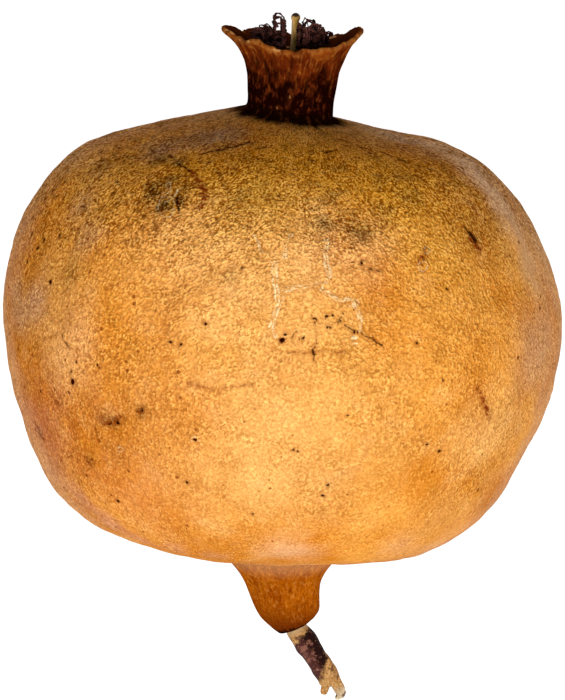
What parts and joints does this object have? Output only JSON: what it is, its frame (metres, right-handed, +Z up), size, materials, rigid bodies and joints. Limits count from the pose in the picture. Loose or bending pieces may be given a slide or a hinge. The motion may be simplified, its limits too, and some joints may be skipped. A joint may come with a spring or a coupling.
{
  "type": "pomegranate",
  "caption": "Whole ripe pomegranate lying on its side: squat lobed body with leathery rind, flared calyx crown with curly dry stamens and a style, tapering neck and a broken woody stalk",
  "frame": {"origin": "centre of the small flat spot that the fruit rests on", "axes": "+Z up; +Y along the fruit's axis from stalk to crown, which is raised 11.5 degrees; +X across the fruit"},
  "size_m": [0.0877, 0.1084, 0.0845],
  "materials": {
    "rind": "dense orange-peel pores, semi-gloss, orange with brown and cream flecks",
    "stalk_wood": "dry flaking bark over pale broken wood",
    "dry_filament": "matt, dried, dark brown",
    "dry_style": "matt, dried, pale olive tan with a dark tip"
  },
  "bodies": {
    "root": {"fruit": "rind", "stem": "stalk_wood", "stamens": "dry_filament", "style": "dry_style"}
  },
  "joints": []
}
